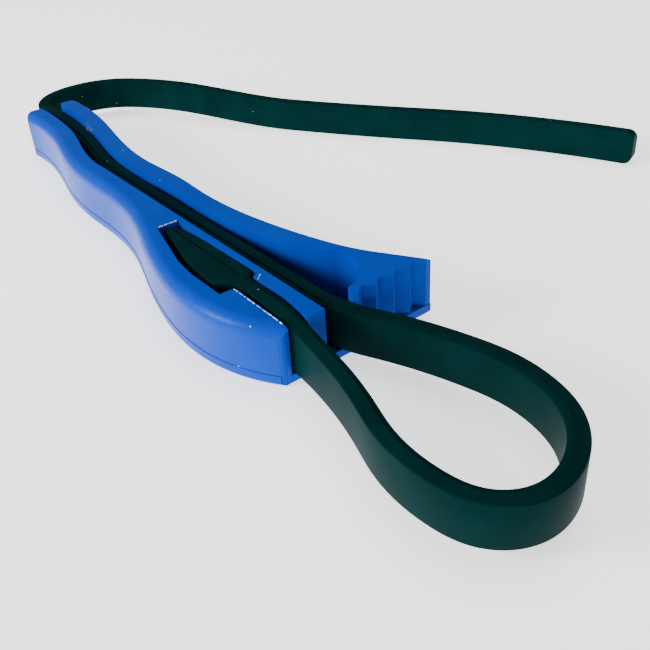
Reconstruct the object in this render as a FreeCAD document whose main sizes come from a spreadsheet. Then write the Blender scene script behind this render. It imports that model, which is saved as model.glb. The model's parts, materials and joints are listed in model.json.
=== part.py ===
"""Rubber strap wrench (jar opener): a moulded handle and one moulded rubber strap.

Millimetres.  The handle lies flat: X runs along it towards the jaws, Y goes from
the anchor arm to the toothed arm, Z is up.  The origin is on the flat underside,
midway along the handle, below the channel's straight wall.

The strap is one rubber moulding.  It is built here as an anchor and a chain of
short links, each a rigid stretch of the strap, so that the rubber can bend at the
gaps between them.
"""
import FreeCAD, Part
import math
import os

doc = FreeCAD.newDocument("strap_wrench")

# ---------------------------------------------------------------- driving sizes
SIZES = [
    ("strap_width", 10.0),        # the strap's broad face, upright in the handle
    ("anchor_height", 11.8),      # the anchor and its neck, nearly flush with the arms
    ("strap_thickness", 4.0),
    ("handle_height", 14.4),      # top of both arms
    ("floor_thickness", 2.5),     # moulded base under the channel and the pocket
    ("handle_length", 160.0),
    ("base_ledge", 0.12),         # step at the parting line, base wider than the arms
    ("grip_round", 3.2),          # soft top edge on the anchor arm's outer side
    ("far_round", 0.9),           # top edge on the toothed arm's outer side
    ("base_round", 1.1),          # bottom edge all round
    ("tooth_pitch", 4.85),
    ("tooth_depth", 1.7),
    ("tooth_count", 4.0),
    ("first_tooth", 11.2),        # Y of the first groove's root
    ("tail_drop", 2.5),           # the free tail comes down to what it lies on
    ("link_gap", 1.2),            # gap at each hinge of the loop
    ("bend_gap", 2.2),            # gap at each hinge of the bend and the tail
]

sheet = doc.addObject("Spreadsheet::Sheet", "sizes")
for row, (alias, value) in enumerate(SIZES, start=1):
    sheet.set(f"A{row}", alias)
    sheet.set(f"B{row}", str(value))
    sheet.setAlias(f"B{row}", alias)
doc.recompute()


def size(alias):
    """A driving size, as the sheet holds it."""
    return float(sheet.get(alias))


THICK = size("strap_thickness")
TOP = size("handle_height")
FLOOR = size("floor_thickness")
TAIL = -size("handle_length")
MIDDLE = size("handle_length") / 2


# ---------------------------------------------------------------- small helpers
def vec(point, height=0.0):
    return FreeCAD.Vector(point[0], point[1], height)


def add_sketch(body, name, curves, height=None):
    """A closed outline on the body's XY plane, raised to a height if one is given."""
    sketch = body.newObject("Sketcher::SketchObject", name)
    plane = next(f for f in body.Origin.OriginFeatures if f.Role == "XY_Plane")
    sketch.AttachmentSupport = (plane, [""])
    sketch.MapMode = "FlatFace"
    if height is not None:
        sketch.setExpression("AttachmentOffset.Base.z", height)
    for curve in curves:
        sketch.addGeometry(curve, False)
    return sketch


def add_pad(body, name, sketch, length):
    pad = body.newObject("PartDesign::Pad", name)
    pad.Profile = sketch
    pad.setExpression("Length", length)
    sketch.Visibility = False
    doc.recompute()
    return pad


def add_pocket(body, name, sketch, depth):
    """Cut downwards from the sketch, and make sure that something was cut."""
    before = body.Shape.Volume
    pocket = body.newObject("PartDesign::Pocket", name)
    pocket.Profile = sketch
    pocket.setExpression("Length", depth)
    doc.recompute()
    if body.Shape.Volume > before - 1.0:
        pocket.Reversed = True
        doc.recompute()
    if body.Shape.Volume > before - 1.0:
        raise RuntimeError(f"{name} cut nothing")
    return pocket


def add_fillet(body, name, radius, wanted):
    """Round the edges of the body's tip that wanted(edge) picks."""
    base = body.Tip
    names = [f"Edge{i}" for i, edge in enumerate(base.Shape.Edges, start=1) if wanted(edge)]
    if not names:
        raise RuntimeError(f"{name}: no edge found")
    fillet = body.newObject("PartDesign::Fillet", name)
    fillet.Base = (base, names)
    fillet.setExpression("Radius", radius)
    doc.recompute()
    if not fillet.Shape.isValid():
        raise RuntimeError(f"{name} failed")
    return fillet


def place(body, height=None):
    """Move a body from the jaw line's frame to the part's, and up if a height is given."""
    body.setExpression("Placement.Base.x", "sizes.handle_length / 2")
    if height is not None:
        body.setExpression("Placement.Base.z", height)
    doc.recompute()


def spline(points):
    """A smooth curve through the points."""
    curve = Part.BSplineCurve()
    curve.interpolate([vec(p) for p in points])
    return curve


def line(a, b):
    return Part.LineSegment(vec(a), vec(b))


def shifted(points, distance):
    """The points, each moved to the left of its run by the distance."""
    moved = []
    for i, (x, y) in enumerate(points):
        x0, y0 = points[max(i - 1, 0)]
        x1, y1 = points[min(i + 1, len(points) - 1)]
        run = math.hypot(x1 - x0, y1 - y0)
        moved.append((x - (y1 - y0) / run * distance, y + (x1 - x0) / run * distance))
    return moved


# ---------------------------------------------------------------- handle outlines
# X is measured here from the jaw line, where the arms end, and each finished body is
# moved so that the origin is midway along the handle.  Each run goes from the tail
# towards the jaws.
ANCHOR_ARM_OUTER = [
    (TAIL, 1.0), (-146, 1.2), (-132, -1.0), (-116, -4.6), (-100, -6.1), (-84, -6.2),
    (-68, -8.6), (-53, -13.3), (-40, -16.8), (-27, -18.6), (-14, -17.4), (-5, -14.0), (0, -10.8),
]
TOOTHED_ARM_OUTER = [
    (TAIL, 19.0), (-149, 19.1), (-136, 17.8), (-122, 15.1), (-109, 12.8), (-95, 11.8),
    (-79, 12.5), (-64, 12.0), (-50, 12.7), (-36, 15.0), (-24, 18.0), (-14, 21.7), (-6, 26.2), (0, 29.6),
]
CHANNEL_FLARE = [(TAIL, 7.4), (-150, 7.4), (-141, 6.8), (-131, 5.5), (-119, 2.5), (-109, 0.4), (-100, 0.0)]
TOOTHED_ARM_INNER = [
    (TAIL, 13.9), (-151, 13.9), (-141, 13.0), (-131, 11.5), (-120, 9.3), (-109, 7.4), (-97, 6.5),
    (-86, 6.7), (-75, 7.5), (-62, 7.3), (-47, 8.0), (-36, 9.9), (-26, 12.5), (-18, 15.9),
]
# the toothed jaw's throat and the rounded lobe that the strap runs out past
THROAT_TOP = (-12.5, 17.6)
THROAT_SIDE = (-7.8, 15.9)
LOBE_SIDE = (-3.4, 10.3)
LOBE_TIP = (-0.6, 8.0)
LOBE_FRONT = (0.0, 8.4)

# the arrow-shaped pocket and the slot that leads out of it
WALL_Y = -1.4                     # thin wall between the pocket and the channel
POCKET_TIP_X = -56.0
POCKET = [
    (POCKET_TIP_X, WALL_Y), (POCKET_TIP_X, -7.2), (-38.0, -11.8), (-31.0, -12.6),
    (-19.5, -12.6), (-19.5, -10.0), (-18.4, -8.9), (0.0, -9.3),
    (0.0, -4.3), (-3.5, -3.7), (-10.8, -2.8), (-20.8, -3.2), (-21.4, WALL_Y),
]


def handle_outline(grow):
    """The handle seen from above, grown outwards by a distance all round."""
    near = shifted(ANCHOR_ARM_OUTER, -grow)
    far = shifted(TOOTHED_ARM_OUTER, grow)
    near[0] = (TAIL - grow, near[0][1])
    far[0] = (TAIL - grow, far[0][1])
    near[-1] = (grow, near[-1][1])
    far[-1] = (grow, far[-1][1])
    return [spline(near), line(near[-1], far[-1]), spline(far), line(far[0], near[0])]


def make_handle():
    body = doc.addObject("PartDesign::Body", "handle")
    body.Label = "handle"

    base = add_sketch(body, "base_outline", handle_outline(size("base_ledge")))
    add_pad(body, "base", base, "sizes.floor_thickness + sizes.base_ledge")
    arms = add_sketch(body, "arm_outline", handle_outline(0.0))
    add_pad(body, "arms", arms, "sizes.handle_height")

    def rim(edge, height):
        box = edge.BoundBox
        return abs(box.ZMin - height) < 0.01 and box.ZLength < 0.01 and box.XLength > 20.0

    add_fillet(body, "grip_edge", "sizes.grip_round",
               lambda e: rim(e, TOP) and e.BoundBox.YMin < -10)
    add_fillet(body, "far_edge", "sizes.far_round",
               lambda e: rim(e, TOP) and e.BoundBox.YMax > 25 and e.BoundBox.YMin > 5)
    add_fillet(body, "base_edge", "sizes.base_round", lambda e: abs(e.BoundBox.ZMax) < 0.01)

    channel = [
        spline(CHANNEL_FLARE),
        line(CHANNEL_FLARE[-1], (0.0, 0.0)),
        line((0.0, 0.0), (4.0, 0.0)),
        line((4.0, 0.0), (4.0, LOBE_FRONT[1])),
        line((4.0, LOBE_FRONT[1]), LOBE_FRONT),
        Part.Arc(vec(LOBE_FRONT), vec(LOBE_TIP), vec(LOBE_SIDE)),
        spline([LOBE_SIDE, THROAT_SIDE, THROAT_TOP, TOOTHED_ARM_INNER[-1]]),
        spline(TOOTHED_ARM_INNER),
        line(TOOTHED_ARM_INNER[0], (TAIL - 4.0, TOOTHED_ARM_INNER[0][1])),
        line((TAIL - 4.0, TOOTHED_ARM_INNER[0][1]), (TAIL - 4.0, CHANNEL_FLARE[0][1])),
        line((TAIL - 4.0, CHANNEL_FLARE[0][1]), CHANNEL_FLARE[0]),
    ]
    cut = "sizes.handle_height - sizes.floor_thickness"
    channel_sketch = add_sketch(body, "channel_outline", channel, "sizes.handle_height")
    add_pocket(body, "channel", channel_sketch, cut)

    corners = POCKET[:8] + [(4.0, POCKET[7][1]), (4.0, POCKET[8][1])] + POCKET[8:]
    pocket = [line(a, b) for a, b in zip(corners, corners[1:] + corners[:1])]
    pocket_sketch = add_sketch(body, "pocket_outline", pocket, "sizes.handle_height")
    add_pocket(body, "anchor_pocket", pocket_sketch, cut)

    # vertical grooves across the toothed jaw, pattern of one groove
    root = size("first_tooth")
    depth = size("tooth_depth")
    half = size("tooth_pitch") / 2
    slope = half / depth
    groove = [(-depth, root), (1.0, root + (depth + 1.0) * slope), (1.0, root - (depth + 1.0) * slope)]
    sides = [line(a, b) for a, b in zip(groove, groove[1:] + groove[:1])]
    groove_sketch = add_sketch(body, "groove_outline", sides, "sizes.handle_height")
    groove_depth = "sizes.handle_height - sizes.floor_thickness - 2 * sizes.base_ledge"
    tooth = add_pocket(body, "tooth_groove", groove_sketch, groove_depth)
    row = body.newObject("PartDesign::LinearPattern", "teeth")
    row.Originals = [tooth]
    row.Direction = (next(f for f in body.Origin.OriginFeatures if f.Role == "Y_Axis"), [""])
    row.setExpression("Length", "sizes.tooth_pitch * (sizes.tooth_count - 1)")
    row.setExpression("Occurrences", "sizes.tooth_count")
    body.Tip = row
    place(body)


# ---------------------------------------------------------------- the strap's route
# Seen from above, the strap's centre line is a chain of arcs, each tangent to the
# last: name, length, and the turn to the left in degrees.
ROUTE_START = (-23.0, -5.7)
ROUTE = [
    ("slot", 23.0, -4.5),
    ("exit", 9.0, -4.5),
    ("near branch", 21.0, -12.0),
    ("near bulge", 22.0, 33.0),
    ("nose", 19.0, 88.5),
    ("far turn", 21.0, 60.0),
    ("far bulge", 18.0, 31.5),
    ("far branch", 27.0, 14.0),
    ("jaw mouth", 13.0, -25.5),
    ("channel", 84.0, -0.5),
    ("flare", 27.0, -12.5),
    ("rise", 21.0, 8.0),
    ("tail exit", 25.0, 4.0),
    ("bend start", 20.0, -77.0),
    ("bend end", 25.0, -62.5),
    ("tail root", 18.0, -15.0),
    ("tail", 92.0, 9.5),
    ("tail tip", 67.0, -15.5),
]


class Route:
    """The strap's centre line, measured by the length along it."""

    def __init__(self, start, pieces):
        self.joints = [(0.0, start[0], start[1], 0.0)]
        self.bends = []
        for _, length, turn in pieces:
            s, x, y, heading = self.joints[-1]
            self.bends.append(math.radians(turn) / length)
            x, y, heading = self.step(x, y, heading, self.bends[-1], length)
            self.joints.append((s + length, x, y, heading))
        self.length = self.joints[-1][0]

    @staticmethod
    def step(x, y, heading, bend, length):
        turn = bend * length
        chord = length if abs(turn) < 1e-9 else length * math.sin(turn / 2) / (turn / 2)
        middle = heading + turn / 2
        return x + chord * math.cos(middle), y + chord * math.sin(middle), heading + turn

    def at(self, s, side=0.0):
        """The point at length s, moved to the left by side, and the heading there."""
        i = max(k for k in range(len(self.bends)) if self.joints[k][0] <= max(s, 0.0) + 1e-9)
        s0, x, y, heading = self.joints[i]
        x, y, heading = self.step(x, y, heading, self.bends[i], s - s0)
        return (x - side * math.sin(heading), y + side * math.cos(heading)), heading

    def outline(self, s0, s1):
        """The closed outline of the strap from s0 to s1: arcs along both faces."""
        cuts = [s0] + [j[0] for j in self.joints if s0 + 0.05 < j[0] < s1 - 0.05] + [s1]
        half = THICK / 2
        curves = []
        for a, b in zip(cuts, cuts[1:]):
            for side in (half, -half):
                ends = [self.at(s, side)[0] for s in (a, (a + b) / 2, b)]
                straight = abs(self.at(b - 1e-6)[1] - self.at(a + 1e-6)[1]) < 1e-4
                curves.append(line(ends[0], ends[2]) if straight else Part.Arc(*[vec(p) for p in ends]))
        for s in (s0, s1):
            curves.append(line(self.at(s, half)[0], self.at(s, -half)[0]))
        return curves


route = Route(ROUTE_START, ROUTE)

# Hinges along the strap: the place along the route, and the body that starts there.
# They are closest together where the rubber bends most.
LOOP_HINGES = [25.5, 46.0, 66.0, 97.0, 127.0, 152.0, 170.0]
BEND_HINGES = [334.0, 350.0, 366.0]
TAIL_HINGES = [395.0, 440.0, 490.0]
SLOPE = (394.0, 440.0)            # the first long tail link slopes down between these

# The arrow-shaped anchor, seen from above: blunt tip, two wings, and back shoulders
# that the pocket's shoulders hold against the pull.
ANCHOR_TIP = [(-54.6, -3.2), (-54.6, -5.9)]
ANCHOR_NEAR_WING = [(-38.0, -10.4), (-25.0, -11.4), (-23.0, -9.8)]
ANCHOR_FAR_WING = [(-23.0, -2.1), (-25.0, -1.7), (-44.0, -1.8)]


def make_strip(label, s0, s1):
    """One stretch of the strap, standing on its edge, as a body of its own."""
    body = doc.addObject("PartDesign::Body", label)
    body.Label = label
    sketch = add_sketch(body, label + "_outline", route.outline(s0, s1))
    add_pad(body, label + "_pad", sketch, "sizes.strap_width")
    if s0 < SLOPE[0]:
        place(body, "sizes.floor_thickness")
    elif s0 > SLOPE[1]:
        place(body, "sizes.floor_thickness - sizes.tail_drop")
    else:
        body.Placement = slope_placement(s0, s1)


def slope_placement(s0, s1):
    """Tip a strip about its first end, so that its far end comes down by the tail's drop."""
    (x0, y0), _ = route.at(s0)
    (x1, y1), _ = route.at(s1)
    run = math.hypot(x1 - x0, y1 - y0)
    across = FreeCAD.Vector(-(y1 - y0) / run, (x1 - x0) / run, 0.0)
    angle = math.degrees(math.atan2(size("tail_drop"), run))
    start = FreeCAD.Vector(MIDDLE, 0, FLOOR)
    return FreeCAD.Placement(start, FreeCAD.Rotation(across, angle), vec((x0, y0)))


def make_anchor(end):
    """The arrowhead with the neck that runs out through the slot."""
    body = doc.addObject("PartDesign::Body", "strap_anchor")
    body.Label = "strap_anchor"
    neck = route.outline(0.0, end)
    left, right = route.at(0.0, THICK / 2)[0], route.at(0.0, -THICK / 2)[0]
    corners = ANCHOR_TIP + ANCHOR_NEAR_WING + [right, left] + ANCHOR_FAR_WING
    head = [line(a, b) for a, b in zip(corners, corners[1:] + corners[:1])]
    add_pad(body, "head", add_sketch(body, "head_outline", head), "sizes.anchor_height")
    add_pad(body, "neck", add_sketch(body, "neck_outline", neck), "sizes.anchor_height")
    place(body, "sizes.floor_thickness")


def make_strap():
    """The anchor, then one strip between each pair of hinges, with the tail sloping down."""
    loop = size("link_gap") / 2
    bend = size("bend_gap") / 2
    stops = [(s, loop) for s in LOOP_HINGES]
    stops += [(s, bend) for s in BEND_HINGES + TAIL_HINGES] + [(route.length, 0.0)]
    names = [f"loop_link_{i}" for i in range(1, len(LOOP_HINGES))]
    names += ["channel_run", "bend_link_1", "bend_link_2", "tail_root"]
    names += ["tail_link_1", "tail_link_2", "tail_end"]
    make_anchor(stops[0][0] - stops[0][1])
    for name, (s0, gap0), (s1, gap1) in zip(names, stops, stops[1:]):
        make_strip(name, s0 + gap0, s1 - gap1)


make_handle()
make_strap()
doc.recompute()

os.makedirs("parts", exist_ok=True)
bodies = [o for o in doc.Objects if o.TypeId == "PartDesign::Body"]
for item in doc.Objects:
    if "Invalid" in item.State or "Error" in item.State:
        raise RuntimeError(f"{item.Label} failed: {item.State}")
for body in bodies:
    shape = body.Shape
    if shape.isNull() or not shape.isValid() or len(shape.Solids) != 1:
        raise RuntimeError(f"{body.Label} is not one valid solid")
    shape.exportStep(f"parts/{body.Label}.step")
    box = shape.optimalBoundingBox(False, False)
    print(f"{body.Label}: {shape.Volume / 1000:.2f} cm3, X {box.XMin:.1f}..{box.XMax:.1f},"
          f" Y {box.YMin:.1f}..{box.YMax:.1f}, Z {box.ZMin:.1f}..{box.ZMax:.1f}")
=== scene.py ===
# %% [markdown]
# # A rubber strap wrench
# The real thing is two mouldings: a hard blue plastic handle and a thick rubber strap
# with an arrow-shaped anchor. The strap leaves the handle through a slot, makes a loop
# for a jar lid or a pipe, and comes back along an open channel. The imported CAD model
# gives every size and place, so it is loaded first and never changed.

import json
import math
import random

import bmesh
import bpy
from mathutils import Matrix, Vector

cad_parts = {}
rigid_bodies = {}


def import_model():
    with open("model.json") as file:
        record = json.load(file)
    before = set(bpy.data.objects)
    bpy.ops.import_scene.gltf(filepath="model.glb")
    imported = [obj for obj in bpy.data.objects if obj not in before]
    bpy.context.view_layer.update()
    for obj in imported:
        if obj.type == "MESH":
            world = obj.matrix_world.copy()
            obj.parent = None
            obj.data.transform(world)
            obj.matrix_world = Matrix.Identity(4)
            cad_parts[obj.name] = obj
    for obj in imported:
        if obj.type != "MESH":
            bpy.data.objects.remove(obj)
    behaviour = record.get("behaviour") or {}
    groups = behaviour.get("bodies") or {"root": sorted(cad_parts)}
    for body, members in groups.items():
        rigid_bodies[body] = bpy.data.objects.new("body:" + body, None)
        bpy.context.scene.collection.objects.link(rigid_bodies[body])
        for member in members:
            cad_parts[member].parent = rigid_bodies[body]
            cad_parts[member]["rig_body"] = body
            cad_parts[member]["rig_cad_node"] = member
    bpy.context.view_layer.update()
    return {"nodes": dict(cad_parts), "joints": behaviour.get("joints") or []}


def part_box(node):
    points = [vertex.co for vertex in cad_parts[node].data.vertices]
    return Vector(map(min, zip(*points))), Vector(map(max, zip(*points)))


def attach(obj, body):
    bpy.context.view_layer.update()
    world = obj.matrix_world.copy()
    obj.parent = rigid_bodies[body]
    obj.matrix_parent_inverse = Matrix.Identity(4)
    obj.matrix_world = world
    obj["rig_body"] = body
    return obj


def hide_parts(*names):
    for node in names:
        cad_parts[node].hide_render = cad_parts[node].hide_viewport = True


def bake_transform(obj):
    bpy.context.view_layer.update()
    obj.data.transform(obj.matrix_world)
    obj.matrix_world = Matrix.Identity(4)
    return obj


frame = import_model()

# %% [markdown]
# ## Sizes
# Lengths are worked out from the frame, or written in millimetres and turned to
# metres by one short function, because a moulder's drawing is in millimetres too.

# %% Sizes shared by the pieces
MM = 0.001
_, handle_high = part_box("handle")
anchor_low, anchor_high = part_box("strap_anchor")
HANDLE_TOP = handle_high.z
strap_low, strap_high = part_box("channel_run")
STRAP_WIDTH = strap_high.z - strap_low.z        # the broad face stands upright
ANCHOR_TOP = anchor_high.z                      # the anchor and its neck stand taller
STRAP_THICKNESS = 4.0 * MM
FLOOR_THICKNESS = anchor_low.z                  # moulded base under the strap
JAW_X = 80.0 * MM                               # the line where both arms end
print("strap", STRAP_WIDTH, "wide, handle", HANDLE_TOP, "high")


# %% [markdown]
# ## Small helpers
# Blender's operators act on whatever is selected, and loading the frame leaves its
# nodes selected. So each step begins by selecting one object and nothing else, and
# points or edges are then picked in code by where they are.

# %% Selecting
def only(piece):
    """Select one object, make it active and leave everything else alone."""
    if bpy.context.mode != "OBJECT":
        bpy.ops.object.mode_set(mode="OBJECT")
    bpy.ops.object.select_all(action="DESELECT")
    piece.hide_set(False)
    piece.select_set(True)
    bpy.context.view_layer.objects.active = piece
    return piece


def pick(kind, wanted):
    """In edit mode, select just the verts or edges that wanted(item) accepts."""
    bpy.ops.mesh.select_mode(type={"verts": "VERT", "edges": "EDGE"}[kind])
    bpy.ops.mesh.select_all(action="DESELECT")
    mesh = bmesh.from_edit_mesh(bpy.context.object.data)
    for item in getattr(mesh, kind):
        if wanted(item):
            item.select_set(True)
    mesh.select_flush_mode()
    bmesh.update_edit_mesh(bpy.context.object.data)


def apply_modifier(piece, kind, **settings):
    """Add a modifier with its settings and apply it."""
    only(piece)
    bpy.ops.object.modifier_add(type=kind)
    modifier = piece.modifiers[-1]
    for name, value in settings.items():
        setattr(modifier, name, value)
    bpy.ops.object.modifier_apply(modifier=modifier.name)


def smooth(piece, degrees):
    """Smooth shading, with edges sharper than the angle kept crisp."""
    only(piece)
    bpy.ops.object.shade_smooth_by_angle(angle=math.radians(degrees))
    print(piece.name, len(piece.data.polygons), "faces")


def prism(name, outline, bottom, height):
    """An upright solid on an outline given in millimetres from the jaws' line.

    It is left in edit mode with all of it selected."""
    bpy.ops.object.select_all(action="DESELECT")
    bpy.ops.mesh.primitive_circle_add(vertices=len(outline), radius=1.0, fill_type="NGON")
    made = bpy.context.object
    made.name = name
    for vertex, (x, y) in zip(made.data.vertices, outline):
        vertex.co = (x * MM + JAW_X, y * MM, bottom)
    only(made)
    bpy.ops.object.mode_set(mode="EDIT")
    bpy.ops.mesh.select_all(action="SELECT")
    bpy.ops.mesh.extrude_region_move(TRANSFORM_OT_translate={"value": (0.0, 0.0, height)})
    bpy.ops.mesh.select_all(action="SELECT")
    bpy.ops.mesh.normals_make_consistent(inside=False)
    return made


# %% [markdown]
# ## The camera
# It stands a hand's length in front of the loop and looks down over it at the jaws,
# close enough for the strap's nose to look large and the free tail small. A camera
# points along its own minus Z, so it is turned up from straight down, then round to
# the handle, and last it is rolled a little about its own view.

# %% Camera
CAMERA_PLACE = Vector((195.4, -85.4, 107.3)) * MM
CAMERA_HEADING = 143.57     # degrees round from +X, the way it looks
CAMERA_DIP = 34.0           # degrees below level
CAMERA_ROLL = -3.79
bpy.ops.object.camera_add(location=CAMERA_PLACE)
camera = bpy.context.object
camera.data.lens = 47.1
camera.data.sensor_width = 36.0
turn = Matrix.Rotation(math.radians(CAMERA_HEADING - 90.0), 4, "Z")
tip = Matrix.Rotation(math.radians(90.0 - CAMERA_DIP), 4, "X")
roll = Matrix.Rotation(math.radians(CAMERA_ROLL), 4, "Z")
camera.matrix_world = Matrix.Translation(CAMERA_PLACE) @ turn @ tip @ roll
camera.data.clip_start = 0.005
bpy.context.scene.camera = camera
print("camera", tuple(round(c, 4) for c in camera.location))

# %% [markdown]
# ## Colours and a node helper
# Colours are picked as the hex values one sees on a screen. Blender mixes light in
# linear values, so one function turns hex to linear. One more adds a node, sets it
# and joins it up, which keeps each material readable.


# %% Colour and node helpers
def colour(text):
    """sRGB hex to linear RGBA."""
    channels = [int(text[i:i + 2], 16) / 255.0 for i in (1, 3, 5)]
    linear = [c / 12.92 if c <= 0.04045 else ((c + 0.055) / 1.055) ** 2.4 for c in channels]
    return (*linear, 1.0)


def node(tree, kind, settings=None, **inputs):
    """Add a node. Inputs are given by name, as a value or as another node's output."""
    made = tree.nodes.new(kind)
    for name, value in (settings or {}).items():
        setattr(made, name, value)
    for name, value in inputs.items():
        socket = made.inputs[name.replace("_", " ")]
        if isinstance(value, bpy.types.NodeSocket):
            tree.links.new(value, socket)
        else:
            socket.default_value = value
    return made


def ramp(tree, factor, stops):
    """A colour ramp through the stops, each a place from 0 to 1 and a colour."""
    made = node(tree, "ShaderNodeValToRGB", Fac=factor)
    points = made.color_ramp.elements
    while len(points) < len(stops):
        points.new(0.5)
    for point, (place, value) in zip(points, stops):
        point.position = place
        point.color = value
    return made.outputs["Color"]


def start_material(name):
    """A material with its shader and the piece's own coordinates."""
    material = bpy.data.materials.new(name)
    material.use_nodes = True
    tree = material.node_tree
    shader = tree.nodes["Principled BSDF"]
    place = tree.nodes.new("ShaderNodeTexCoord").outputs["Object"]
    return material, tree, shader, place


# %% [markdown]
# ## Moulded polypropylene, blue
# The handle is injection moulded from a glossy-satin polypropylene, coloured right
# through. The mould is finely spark-eroded, so highlights are broad with a slight
# grain, and the surface has the faint waviness of thick walls that shrank as they
# cooled. A little dust sits on it. Its colour doesn't change with depth, so the
# variation is kept very small.

# %% Blue plastic
GRAIN_PER_METRE = 1 / (0.35 * MM)     # erosion pits about 0.35 mm apart
SINK_PER_METRE = 1 / (14.0 * MM)      # slow waviness of cooled walls
DUST_PER_METRE = 1 / (5.5 * MM)       # one speck every 5 mm or so
PLASTIC_SPECK = 0.030                 # a speck's radius as a share of that spacing


def dust(tree, place, spacing, size):
    """White where a speck of dust lies: the close surroundings of scattered points."""
    cells = node(tree, "ShaderNodeTexVoronoi", Vector=place, Scale=spacing, Randomness=1.0)
    near = node(tree, "ShaderNodeMath", {"operation": "LESS_THAN"})
    tree.links.new(cells.outputs["Distance"], near.inputs[0])
    near.inputs[1].default_value = size
    return near.outputs[0]


def make_blue_plastic():
    material, tree, shader, place = start_material("moulded_polypropylene_blue")
    drift = node(tree, "ShaderNodeTexNoise", Vector=place, Scale=SINK_PER_METRE, Detail=3.0)
    body = ramp(tree, drift.outputs["Fac"], [(0.3, colour("#003AA6")), (0.7, colour("#0040AE"))])
    specks = dust(tree, place, DUST_PER_METRE, PLASTIC_SPECK)
    mix = node(tree, "ShaderNodeMix", {"data_type": "RGBA"})
    tree.links.new(specks, mix.inputs["Factor"])
    tree.links.new(body, mix.inputs[6])
    mix.inputs[7].default_value = colour("#BFD8FF")
    tree.links.new(mix.outputs[2], shader.inputs["Base Color"])
    grain = node(tree, "ShaderNodeTexNoise", Vector=place, Scale=GRAIN_PER_METRE, Detail=4.0, Roughness=0.6)
    rough = node(tree, "ShaderNodeMapRange", Value=grain.outputs["Fac"], To_Min=0.26, To_Max=0.38)
    tree.links.new(rough.outputs["Result"], shader.inputs["Roughness"])
    shader.inputs["IOR"].default_value = 1.49
    shader.inputs["Specular IOR Level"].default_value = 0.12
    shader.inputs["Specular Tint"].default_value = colour("#8CC8FF")
    sink = node(tree, "ShaderNodeBump", Height=drift.outputs["Fac"], Strength=0.10, Distance=0.6 * MM)
    bump = node(tree, "ShaderNodeBump", Height=grain.outputs["Fac"], Strength=0.16, Distance=0.05 * MM)
    tree.links.new(sink.outputs["Normal"], bump.inputs["Normal"])
    tree.links.new(bump.outputs["Normal"], shader.inputs["Normal"])
    return material


def make_flash_and_painted_highlight():
    """Plastic torn thin at the mould's edge goes pale, because it is full of tiny cracks; its pale blue to
    white is also a painted highlight along the pocket's edges.
    """
    material, tree, shader, place = start_material("stress_whitened_polypropylene_and_painted_highlight")
    whitening_and_highlight_noise = node(tree, "ShaderNodeTexNoise", Vector=place, Scale=1 / (0.8 * MM), Detail=3.0)
    # Pale blue to near white: stress-whitened plastic, and also a painted highlight on the pocket's edges.
    body = ramp(tree, whitening_and_highlight_noise.outputs["Fac"], [(0.40, colour("#7FC4FF")), (0.60, colour("#F2FAFF"))])
    tree.links.new(body, shader.inputs["Base Color"])
    bump = node(tree, "ShaderNodeBump", Height=whitening_and_highlight_noise.outputs["Fac"], Strength=0.4, Distance=0.1 * MM)
    tree.links.new(bump.outputs["Normal"], shader.inputs["Normal"])
    shader.inputs["Roughness"].default_value = 0.5
    return material


blue_plastic = make_blue_plastic()
flash_and_painted_highlight = make_flash_and_painted_highlight()
print("materials", blue_plastic.name, flash_and_painted_highlight.name)

# %% [markdown]
# ## Moulded rubber, deep green-black
# The strap is a vulcanised rubber, nearly black with a green cast. Its mould was
# blasted, so it has a fine even grain that breaks reflections up: they are weak, wide
# and tinted by the compound's own oils. It picks up white dust.

# %% Green-black rubber
RUBBER_GRAIN_PER_METRE = 1 / (0.30 * MM)
RUBBER_CLOUD_PER_METRE = 1 / (9.0 * MM)
RUBBER_SPECK = 0.026


def make_rubber():
    material, tree, shader, place = start_material("moulded_rubber_green_black")
    cloud = node(tree, "ShaderNodeTexNoise", Vector=place, Scale=RUBBER_CLOUD_PER_METRE, Detail=4.0)
    body = ramp(tree, cloud.outputs["Fac"], [(0.3, colour("#001F20")), (0.7, colour("#002626"))])
    specks = dust(tree, place, DUST_PER_METRE, RUBBER_SPECK)
    mix = node(tree, "ShaderNodeMix", {"data_type": "RGBA"})
    tree.links.new(specks, mix.inputs["Factor"])
    tree.links.new(body, mix.inputs[6])
    mix.inputs[7].default_value = colour("#8FB5AE")
    tree.links.new(mix.outputs[2], shader.inputs["Base Color"])
    grain = node(tree, "ShaderNodeTexNoise", Vector=place, Scale=RUBBER_GRAIN_PER_METRE,
                 Detail=5.0, Roughness=0.65)
    rough = node(tree, "ShaderNodeMapRange", Value=grain.outputs["Fac"], To_Min=0.42, To_Max=0.60)
    tree.links.new(rough.outputs["Result"], shader.inputs["Roughness"])
    bump = node(tree, "ShaderNodeBump", Height=grain.outputs["Fac"], Strength=0.30, Distance=0.06 * MM)
    tree.links.new(bump.outputs["Normal"], shader.inputs["Normal"])
    shader.inputs["IOR"].default_value = 1.50
    shader.inputs["Specular IOR Level"].default_value = 0.03
    shader.inputs["Specular Tint"].default_value = colour("#57D6C6")
    return material


rubber = make_rubber()
print("material", rubber.name)


def finish_piece(piece, material):
    """Give a piece its material."""
    piece.data.materials.clear()
    piece.data.materials.append(material)


# %% [markdown]
# ## The handle
# On the real handle every edge is a little soft, because a mould can't hold a razor
# edge, and the ends of both arms are well rounded for the palm. The CAD node has the
# right walls but crisp corners. So a copy of it is merged into one surface, its flat
# areas are dissolved into single faces, and then the upright corners at the arms'
# ends are rounded by cutting away what lies outside an arc. The other edges are left
# crisp. Building the handle again from curves would risk one that no longer fits its
# strap. The copy also carries shading directions stored with the CAD node. They
# would hide the jaw's grooves here, so they are cleared, and new ones are worked out
# in which large faces count for more.

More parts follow.
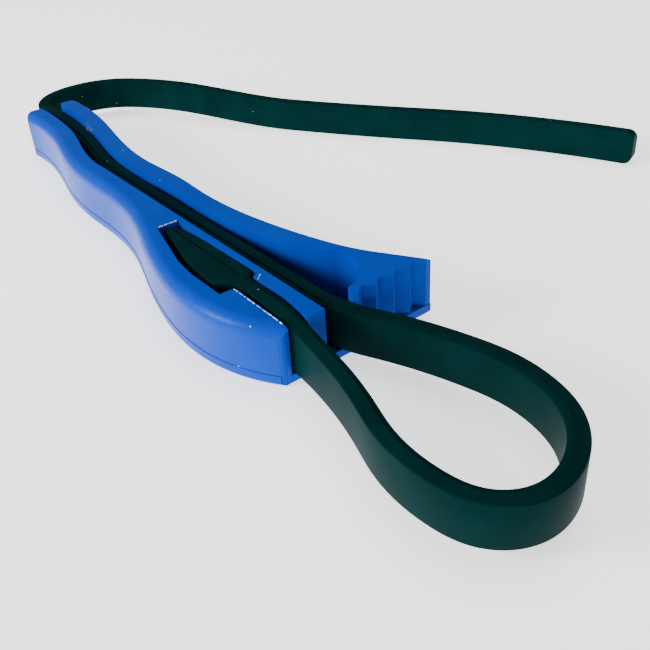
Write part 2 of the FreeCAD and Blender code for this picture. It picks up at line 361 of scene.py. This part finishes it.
# %% Copy the handle and clean it
MERGE_WITHIN = 0.002 * MM
FLAT_WITHIN = math.radians(0.4)
only(frame["nodes"]["handle"])
bpy.ops.object.duplicate()
handle = bpy.context.object
handle.name = "moulded_handle"
handle.data.name = "moulded_handle"
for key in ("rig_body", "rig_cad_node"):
    if key in handle:
        del handle[key]
handle.parent = None
only(handle)
bpy.ops.object.mode_set(mode="EDIT")
bpy.ops.mesh.select_all(action="SELECT")
bpy.ops.mesh.remove_doubles(threshold=MERGE_WITHIN)
bpy.ops.mesh.dissolve_limited(angle_limit=FLAT_WITHIN)
bpy.ops.object.mode_set(mode="OBJECT")
print("handle", len(handle.data.vertices), "points", len(handle.data.polygons), "faces")

# %% Round the upright corners at the arms' ends
# Each corner: its place, the headings of the outline before and after it going
# anticlockwise round the handle, in degrees, and the radius.
CORNERS = [
    ("anchor_jaw", (0.0, -10.8), 32.6, 90.0, 2.0),
    ("anchor_tail", (-160.0, 1.0), 270.0, 360.8, 3.0),
    ("toothed_tail", (-160.0, 19.0), 180.5, 270.0, 2.3),
    ("toothed_tail_inner", (-160.0, 13.9), 270.0, 360.0, 0.9),
]
ARC_STEPS = 8
OVERHANG = 3.0                   # how far a cutter reaches past the corner
PAST_FACES = 1.0 * MM            # and how far past the handle's top and bottom


def corner_cutter(name, corner, before, after, radius):
    """An upright prism filling what lies outside a corner's arc."""
    first, second = math.radians(before), math.radians(after)
    tangent = radius * math.tan((second - first) / 2)
    start = (corner[0] - tangent * math.cos(first), corner[1] - tangent * math.sin(first))
    centre = (start[0] - radius * math.sin(first), start[1] + radius * math.cos(first))
    outline = []
    for k in range(ARC_STEPS + 1):
        angle = first + (second - first) * k / ARC_STEPS
        outline.append((centre[0] + radius * math.sin(angle), centre[1] - radius * math.cos(angle)))
    out_before, out_after = first - math.pi / 2, second - math.pi / 2
    end = outline[-1]
    outline.append((end[0] + OVERHANG * math.cos(out_after), end[1] + OVERHANG * math.sin(out_after)))
    outline.append((corner[0] + OVERHANG * (math.cos(out_before) + math.cos(out_after)),
                    corner[1] + OVERHANG * (math.sin(out_before) + math.sin(out_after))))
    outline.append((start[0] + OVERHANG * math.cos(out_before), start[1] + OVERHANG * math.sin(out_before)))
    cutter = prism(name, outline, -PAST_FACES, HANDLE_TOP + 2 * PAST_FACES)
    bpy.ops.object.mode_set(mode="OBJECT")
    return cutter


for name, corner, before, after, radius in CORNERS:
    cutter = corner_cutter(name, corner, before, after, radius)
    apply_modifier(handle, "BOOLEAN", object=cutter, operation="DIFFERENCE", solver="EXACT")
    bpy.data.objects.remove(cutter)
    print(name, "rounded,", len(handle.data.polygons), "faces")

# %% Finish the handle
only(handle)
bpy.ops.mesh.customdata_custom_splitnormals_clear()
smooth(handle, 32.0)
apply_modifier(handle, "WEIGHTED_NORMAL", keep_sharp=True)
finish_piece(handle, blue_plastic)
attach(handle, "handle")
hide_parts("handle")

# %% [markdown]
# ## The strap's route
# Rubber this thick bends in long even curves, so the strap's centre line is a chain
# of arcs that run smoothly into each other. Each has a length and a turn to the
# left. The strap stands on its edge all the way.

# %% The centre line
ROUTE_START = (-23.0, -5.7)
ROUTE = [
    ("slot", 23.0, -4.5),
    ("exit", 9.0, -4.5),
    ("near branch", 21.0, -12.0),
    ("near bulge", 22.0, 33.0),
    ("nose", 19.0, 88.5),
    ("far turn", 21.0, 60.0),
    ("far bulge", 18.0, 31.5),
    ("far branch", 27.0, 14.0),
    ("jaw mouth", 13.0, -25.5),
    ("channel", 84.0, -0.5),
    ("flare", 27.0, -12.5),
    ("rise", 21.0, 8.0),
    ("tail exit", 25.0, 4.0),
    ("bend start", 20.0, -77.0),
    ("bend end", 25.0, -62.5),
    ("tail root", 18.0, -15.0),
    ("tail", 92.0, 9.5),
    ("tail tip", 67.0, -15.5),
]
STRAP_LENGTH = sum(length for _, length, _ in ROUTE)
SLOPE = (394.0, 440.0)          # the tail comes down to the table between these
NECK_TAPER = (14.0, 34.0)       # the tall neck comes down to the strap's width here


def eased(s, span):
    """0 before the span, 1 after it, and a soft S between."""
    share = min(max((s - span[0]) / (span[1] - span[0]), 0.0), 1.0)
    return share * share * (3 - 2 * share)


def arc_place(s):
    """The point on the chain of arcs at length s, in millimetres."""
    x, y = ROUTE_START
    heading = 0.0
    for _, length, turned in ROUTE:
        run = min(length, s)
        bend = math.radians(turned) * run / length
        chord = run if abs(bend) < 1e-9 else run * math.sin(bend / 2) / (bend / 2)
        x += chord * math.cos(heading + bend / 2)
        y += chord * math.sin(heading + bend / 2)
        heading += bend
        s -= length
        if s <= 0:
            break
    return x, y


def strap_place(s):
    """The point at length s on the centre line, in metres, at the strap's mid-width."""
    ease = 2.5                                   # rubber can't change its bend at a point
    near = [arc_place(min(max(s + d, 0.0), STRAP_LENGTH)) for d in (-ease, 0.0, ease)]
    if ease < s < STRAP_LENGTH - ease:
        x = sum(p[0] for p in near) / 3
        y = sum(p[1] for p in near) / 3
    else:
        x, y = near[1]
    z = FLOOR_THICKNESS * (1 - eased(s, SLOPE)) + STRAP_WIDTH / 2
    return Vector((x * MM + JAW_X, y * MM, z))


print("strap route", STRAP_LENGTH, "mm, nose at", strap_place(85.0))

# %% [markdown]
# ## The strap's section
# The moulded strip is a flat bar with soft corners. Along its upper edge the third
# nearest the inside of the loop stands a hair lower than the rest, where two halves
# of the mould met. The seam on the step stands up a little and catches the light, so that a
# fine line runs along the whole strap.

# %% Section of the strip
CORNER = 0.35
STEP_DOWN = 0.28
STEP_SIDE = 0.8                  # from the centre line towards the inside of the loop
FLOOR_CLEAR = 0.04               # lower edge held off the channel's floor, so faces never share a plane
SEAM_RISE = 0.07                 # the mould's seam stands up along the step
half_thick = STRAP_THICKNESS / MM / 2
half_wide = STRAP_WIDTH / MM / 2


def rounded(corner_side, corner_height, start_degrees):
    """Points round one corner of the section, turning a quarter anticlockwise."""
    centre_side = corner_side - math.copysign(CORNER, corner_side)
    centre_height = corner_height - math.copysign(CORNER, corner_height)
    steps = (0.0, 30.0, 60.0, 90.0)
    angles = [math.radians(start_degrees + a) for a in steps]
    return [(centre_side + CORNER * math.cos(a), centre_height + CORNER * math.sin(a)) for a in angles]


section = rounded(half_thick, -half_wide + FLOOR_CLEAR, 270.0)
section += rounded(half_thick, half_wide - STEP_DOWN, 0.0)
section += [(STEP_SIDE + 0.05, half_wide - STEP_DOWN), (STEP_SIDE, half_wide + SEAM_RISE / 2)]
section += [(STEP_SIDE - 0.12, half_wide + SEAM_RISE), (STEP_SIDE - 0.28, half_wide)]
section += rounded(-half_thick, half_wide, 90.0)
section += rounded(-half_thick, -half_wide + FLOOR_CLEAR, 180.0)
print("section points", len(section))

# %% [markdown]
# ## Where the strap is allowed to bend
# The CAD model bends the strap at hinges. The visible strap is one smooth skin cut
# at the middle of each stiff link, where neither neighbour bends, so that the cuts
# never open.

# %% Hinges and cuts
hinges = [j for j in frame["joints"] if j["type"] == "hinge"]
LINKS = ["strap_anchor"] + [j["child"] for j in hinges]
SEARCH_STEP = 0.25


def nearest_length(place):
    """The length along the strap that comes closest to a hinge's stated place."""
    count = round(STRAP_LENGTH / SEARCH_STEP)
    tries = [k * SEARCH_STEP for k in range(count + 1)]
    return min(tries, key=lambda s: (strap_place(s).xy - Vector(place).xy).length)


HINGES = [nearest_length(j["pos_m"]) for j in hinges]
NECK_START = 0.0
NECK_HELD = 11.0                 # the neck is cut this far before the first hinge, in the slot
edges = HINGES + [STRAP_LENGTH]
cuts = [HINGES[0] - NECK_HELD]
cuts += [(a + b) / 2 for a, b in zip(edges, edges[1:])]
print("hinges at", HINGES)

# %% [markdown]
# ## Sweeping the strap
# A curve swept with the section as its profile makes the whole strip in one go, and
# keeps the section upright. Rings fall on every cut exactly.

# %% Sweep
RING_SPACING = 1.0
TIP_ROUND = 2.6                  # radius of the tail end's corners
stations = [NECK_START]
for a, b in zip([NECK_START] + cuts, cuts + [STRAP_LENGTH]):
    count = max(1, round((b - a) / RING_SPACING))
    stations += [a + (b - a) * (k + 1) / count for k in range(count)]
tip_start = STRAP_LENGTH - TIP_ROUND
stations = [s for s in stations if s < tip_start]
stations += [STRAP_LENGTH - TIP_ROUND * (1 - math.sin(math.radians(a))) for a in range(0, 91, 10)]

bpy.ops.object.select_all(action="DESELECT")
bpy.ops.curve.primitive_nurbs_path_add()
profile = bpy.context.object
profile.name = "strap_section"
bpy.ops.curve.primitive_nurbs_path_add()
path = bpy.context.object
path.name = "strap_path"


def fill_curve(holder, points, closed):
    """Give a curve object one straight-segment spline through the points."""
    holder.data.splines.clear()
    spline = holder.data.splines.new("POLY")
    spline.points.add(len(points) - 1)
    for slot_point, place in zip(spline.points, points):
        slot_point.co = (*place, 1.0)
    spline.use_cyclic_u = closed


profile.data.dimensions = "2D"
profile.data.fill_mode = "NONE"
fill_curve(profile, [(-side * MM, height * MM, 0.0) for side, height in section], True)
path.data.dimensions = "3D"
path.data.twist_mode = "Z_UP"
fill_curve(path, [strap_place(s) for s in stations], False)
path.data.bevel_mode = "OBJECT"
path.data.bevel_object = profile
only(path)
bpy.ops.object.convert(target="MESH")
strap = bpy.context.object
strap.name = "whole_strap"
bpy.data.objects.remove(profile)
RING = len(section)
if len(strap.data.vertices) != RING * len(stations):
    raise ValueError("the sweep has an unexpected number of points")
print("swept", len(stations), "rings of", RING)

# %% Raise the neck's upper edge to the anchor's
for index, s in enumerate(stations):
    rise = (ANCHOR_TOP - strap_high.z) * (1 - eased(s, NECK_TAPER))
    middle = strap_place(s).z
    for vertex in strap.data.vertices[index * RING:(index + 1) * RING]:
        if vertex.co.z > middle:
            vertex.co.z += rise

# %% Round the tail end's corners and close it
for index, s in enumerate(stations):
    beyond = s - tip_start
    if beyond <= 0:
        continue
    allowed = half_wide - TIP_ROUND + math.sqrt(max(TIP_ROUND ** 2 - beyond ** 2, 0.0))
    middle = strap_place(s).z
    for vertex in strap.data.vertices[index * RING:(index + 1) * RING]:
        vertex.co.z = middle + (vertex.co.z - middle) * allowed / half_wide
only(strap)
bpy.ops.object.mode_set(mode="EDIT")
last = (len(stations) - 1) * RING
pick("verts", lambda v: v.index >= last)
bpy.ops.mesh.edge_face_add()
bpy.ops.mesh.select_all(action="SELECT")
bpy.ops.mesh.normals_make_consistent(inside=False)
bpy.ops.object.mode_set(mode="OBJECT")
smooth(strap, 38.0)

# %% [markdown]
# ## Cutting the strap into pieces
# Each piece is a copy of the whole strip with the rings outside its span deleted.
# Its shading is then copied back from the whole strip, so that light runs over the
# cuts without a line.

# %% Cut
REACH = 3.5                      # each side of a hinge, in millimetres; the places worked out from it below are not used
ring_at = {round(s, 6): i for i, s in enumerate(stations)}


def span_piece(name, s0, s1):
    """The stretch of strap from s0 to s1 as a piece of its own."""
    first = ring_at[round(s0, 6)] * RING
    final = (ring_at[round(s1, 6)] + 1) * RING
    only(strap)
    bpy.ops.object.duplicate()
    piece = bpy.context.object
    piece.name = name
    piece.data.name = name
    bpy.ops.object.mode_set(mode="EDIT")
    pick("verts", lambda v: not first <= v.index < final)
    bpy.ops.mesh.delete(type="VERT")
    bpy.ops.object.mode_set(mode="OBJECT")
    apply_modifier(piece, "DATA_TRANSFER", object=strap, use_loop_data=True,
                   data_types_loops={"CUSTOM_NORMAL"}, loop_mapping="NEAREST_POLYNOR")
    finish_piece(piece, rubber)
    return piece


marks = [NECK_START] + cuts + [stations[-1]]
ring_at[round(STRAP_LENGTH, 6)] = len(stations) - 1
for index, hinge in enumerate(HINGES):
    parent, child = LINKS[index], LINKS[index + 1]
    s0, s1 = marks[index + 1], marks[index + 2]
    piece = span_piece(f"strap_{child}", s0, s1)
    strap_place(max(s0, hinge - REACH))
    strap_place(min(s1, hinge + REACH))
    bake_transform(piece)
    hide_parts(child)
neck = span_piece("strap_neck", marks[0], marks[1])
end_piece = span_piece("strap_tail_end", marks[-2], STRAP_LENGTH)
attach(neck, "strap_anchor")
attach(end_piece, "tail_end")
print("strap pieces", len(HINGES) + 2)

# %% [markdown]
# ## The anchor
# The strap's first end is a flat arrowhead that drops into its pocket in the handle
# and can't pull out through the slot. Like the strip it is moulded in two levels:
# the near half stands higher, with a soft rim that dips at the shoulder and runs on
# into the neck, and the far half lies a step lower. Each half starts as a circle
# whose points are moved to its outline, is pulled down to the pocket's floor and
# gets its edges rounded, and then the two are joined. The far half slopes down
# towards the tip, as soft rubber does when its end isn't held.

# %% Arrowhead
CENTRE_LINE = [(-54.9, -3.9), (-48.0, -4.1), (-40.0, -4.4), (-30.0, -4.7), (-19.0, -4.75)]
NEAR_HALF = CENTRE_LINE + [
    (-19.0, -7.7), (-21.4, -7.9), (-22.4, -8.6), (-23.2, -9.9), (-24.0, -10.7),
    (-25.6, -11.2), (-27.0, -11.25), (-37.5, -10.2), (-39.0, -9.8), (-53.8, -6.2), (-54.9, -5.5),
]
FAR_HALF = CENTRE_LINE[::-1] + [
    (-55.1, -3.1), (-54.3, -2.6), (-44.0, -1.85), (-25.2, -1.65), (-23.8, -1.8),
    (-22.8, -2.6), (-22.2, -3.4), (-19.0, -3.75),
]
NEAR_TOP = ANCHOR_TOP
FAR_TOP = ANCHOR_TOP - STEP_DOWN * MM
TIP_SAG = 0.6 * MM               # how far the tip lies below the shoulders
SAME_HEIGHT = 0.02 * MM          # points closer than this to the top belong to it
UPRIGHT_ANGLE = 1.0              # in radians; only the rim's edges fold more than this


def arrow_half(name, outline, top, edge_round):
    """One half of the arrowhead: outline, height, and a rounded upper edge."""
    half = prism(name, outline, FLOOR_THICKNESS, top - FLOOR_THICKNESS)
    pick("edges", lambda e: all(abs(v.co.z - top) < SAME_HEIGHT for v in e.verts)
         and e.calc_face_angle(0.0) > UPRIGHT_ANGLE)
    bpy.ops.mesh.bevel(offset=edge_round, segments=4, affect="EDGES", clamp_overlap=True)
    bpy.ops.object.mode_set(mode="OBJECT")
    return half


near_half = arrow_half("near_half", NEAR_HALF, NEAR_TOP, 0.6 * MM)
far_half = arrow_half("far_half", FAR_HALF, FAR_TOP, 0.35 * MM)
only(near_half)
far_half.select_set(True)
bpy.ops.object.join()
anchor = bpy.context.object
anchor.name = "strap_arrowhead"
back = -19.0 * MM + JAW_X
tip = -54.5 * MM + JAW_X
for vertex in anchor.data.vertices:
    if vertex.co.z > FLOOR_THICKNESS + STRAP_WIDTH / 2:
        share = min(max((back - vertex.co.x) / (back - tip), 0.0), 1.0)
        vertex.co.z -= TIP_SAG * share * share
smooth(anchor, 40.0)
finish_piece(anchor, rubber)
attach(anchor, "strap_anchor")
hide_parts("strap_anchor")

# %% The whole strip has done its work
bpy.data.objects.remove(strap)

# %% [markdown]
# ## Torn flash along the slot, with a painted highlight
# Where the two halves of the mould met at the pocket, a paper-thin fin of plastic
# was left and then broken off. It shows as a broken pale line, pale partly from the whitened plastic and
# partly as a painted highlight along the pocket's edges.
# Each shard is a small block pressed thin, with its own length and lean, and they are joined in one piece.

# %% Flash, its pale colour partly a painted highlight
# Each run: its two ends, in millimetres from the jaws' line, and how tall its shards are.
random.seed(4)
FLASH_RUNS = [
    ((-19.3, -9.25), (-1.6, -9.45), 0.34),
    ((-55.9, -6.9), (-55.9, -1.7), 0.45),
    ((-20.6, -1.5), (-19.0, -3.1), 0.40),
]
shards = []
for (x0, y0), (x1, y1), spread in FLASH_RUNS:
    run = math.hypot(x1 - x0, y1 - y0)
    along = 0.0
    while along < run:
        length = min(random.uniform(0.5, 2.1), run - along)
        share = (along + length / 2) / run
        bpy.ops.object.select_all(action="DESELECT")
        bpy.ops.mesh.primitive_cube_add(size=1.0)
        shard = bpy.context.object
        height = random.uniform(0.25, 0.5) * spread * 2
        place = Vector(((x0 + (x1 - x0) * share) * MM + JAW_X, (y0 + (y1 - y0) * share) * MM,
                        HANDLE_TOP - 0.06 * MM))
        lean = Matrix.Rotation(random.uniform(-0.25, 0.25), 4, "X")
        heading = Matrix.Rotation(math.atan2(y1 - y0, x1 - x0), 4, "Z")
        size = Matrix.Diagonal((length * 0.9 * MM, 0.22 * MM, height * MM, 1.0))
        shard.data.transform(Matrix.Translation(place) @ heading @ lean @ size)
        shards.append(shard)
        along += length + random.uniform(0.05, 0.5)
only(shards[0])
for shard in shards:
    shard.select_set(True)
bpy.ops.object.join()
flash = bpy.context.object
flash.name = "slot_flash_with_painted_highlight"
apply_modifier(flash, "BEVEL", width=0.05 * MM, segments=1)
smooth(flash, 30.0)
finish_piece(flash, flash_and_painted_highlight)
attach(flash, "handle")

# %% [markdown]
# ## Floor and light
# The floor is a sheet of white acrylic lit a little from below, as small products are
# often shown, so that it looks nearly white and shadows on it stay faint. The key
# light comes low from the anchor arm's side, where it brightens that arm and the
# loop's near faces and leaves the jaws' fronts deeper blue. A weaker one is aimed at
# the loop, and a broad one overhead fills in the tops.

# %% Floor
bpy.ops.object.select_all(action="DESELECT")
bpy.ops.mesh.primitive_plane_add(size=6.0, location=(0.0, 0.0, 0.0))
floor = bpy.context.object
floor.name = "floor"
floor_paint = bpy.data.materials.new("lit_white_acrylic_sheet")
floor_paint.use_nodes = True
sheet = floor_paint.node_tree.nodes["Principled BSDF"]
sheet.inputs["Base Color"].default_value = colour("#FFFFFF")
sheet.inputs["Roughness"].default_value = 0.9
sheet.inputs["Specular IOR Level"].default_value = 0.0
sheet.inputs["Emission Color"].default_value = colour("#FFFFFF")
sheet.inputs["Emission Strength"].default_value = 1.3
floor.data.materials.append(floor_paint)


# %% Lights
def soft_light(name, place, aim, size, power, tint):
    """A square softbox at a place, turned to its aim."""
    bpy.ops.object.select_all(action="DESELECT")
    bpy.ops.object.light_add(type="AREA", location=place)
    light = bpy.context.object
    light.name = name
    light.data.size = size
    light.data.energy = power
    light.data.color = colour(tint)[:3]
    light.rotation_euler = (Vector(aim) - Vector(place)).to_track_quat("-Z", "Y").to_euler()


soft_light("key", (-0.26, -0.62, 0.30), (0.02, 0.0, 0.0), 0.26, 7.5, "#FFFFFF")
soft_light("loop", (0.40, -0.50, 0.14), (0.11, 0.0, 0.006), 0.20, 1.8, "#F4FEFF")
soft_light("top", (-0.10, 0.30, 0.9), (0.0, 0.0, 0.0), 0.6, 5.0, "#FFFFFF")
world = bpy.data.worlds.new("pale_studio")
world.use_nodes = True
world.node_tree.nodes["Background"].inputs["Color"].default_value = colour("#FFFFFF")
world.node_tree.nodes["Background"].inputs["Strength"].default_value = 0.22
bpy.context.scene.world = world
